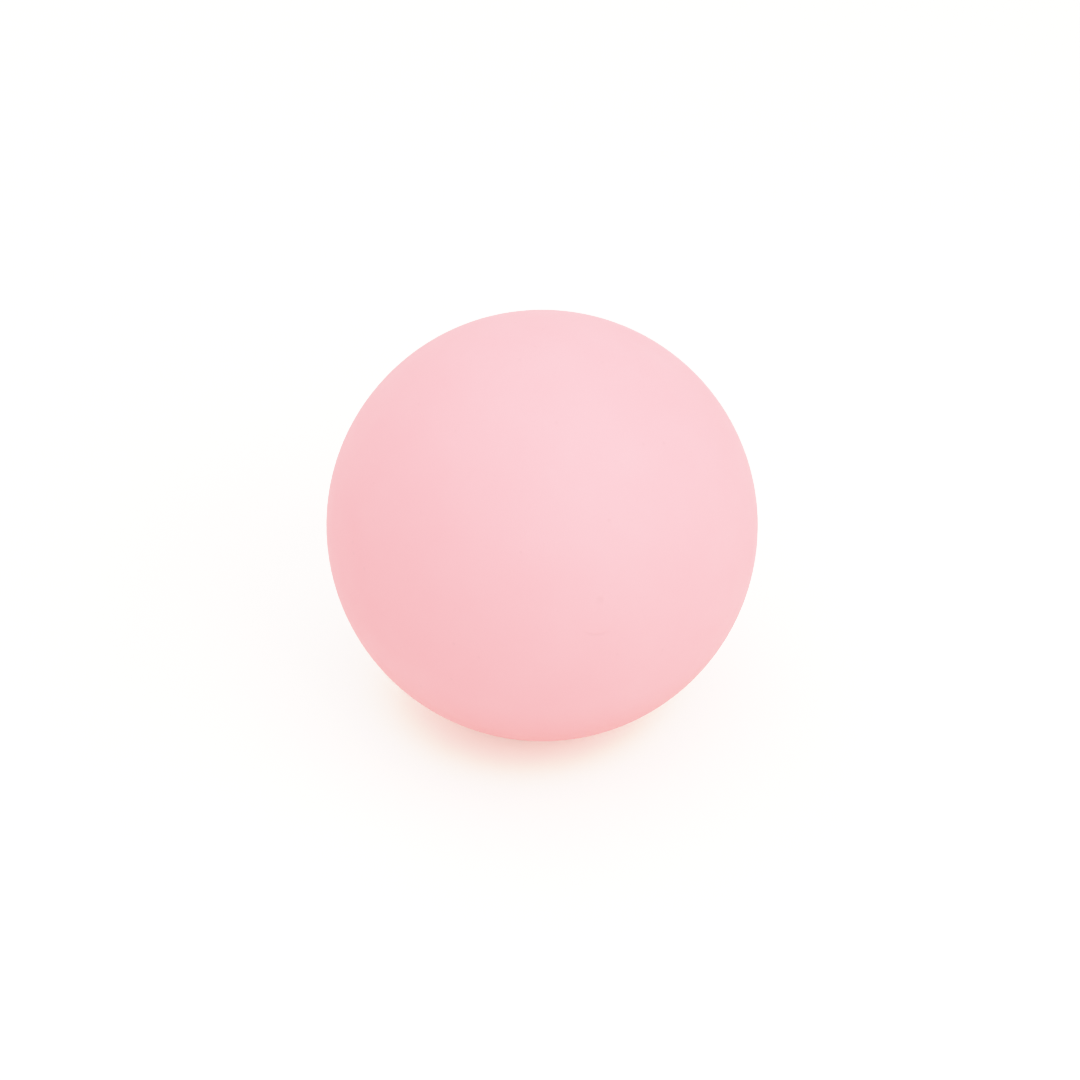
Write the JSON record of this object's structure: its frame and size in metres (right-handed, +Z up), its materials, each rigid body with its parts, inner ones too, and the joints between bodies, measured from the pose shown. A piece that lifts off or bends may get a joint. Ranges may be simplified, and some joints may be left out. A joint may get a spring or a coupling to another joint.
{
  "type": "exercise ball",
  "caption": "Small soft inflatable exercise ball with a moulded-in valve seat and a push-in plug, for physiotherapy and Pilates.",
  "frame": {"origin": "middle of the small flat that the ball rests on, at floor level", "axes": "+Z up; +Y along the valve's axis, out of its mouth, 113.4 mm above the floor; +X to the right for someone looking along +Y"},
  "size_m": [0.2299, 0.23, 0.2284],
  "materials": {
    "skin": "matte",
    "valve_seat": "satin",
    "valve_plug": "satin"
  },
  "bodies": {
    "ball": {"ball_shell": "skin", "valve_seat": "valve_seat"},
    "plug": {"valve_plug": "valve_plug"}
  },
  "joints": [
    {"name": "plug_pull", "type": "slide", "parent": "ball", "child": "plug", "axis": [0, 1, 0], "range_m": [0, 0.03]}
  ]
}
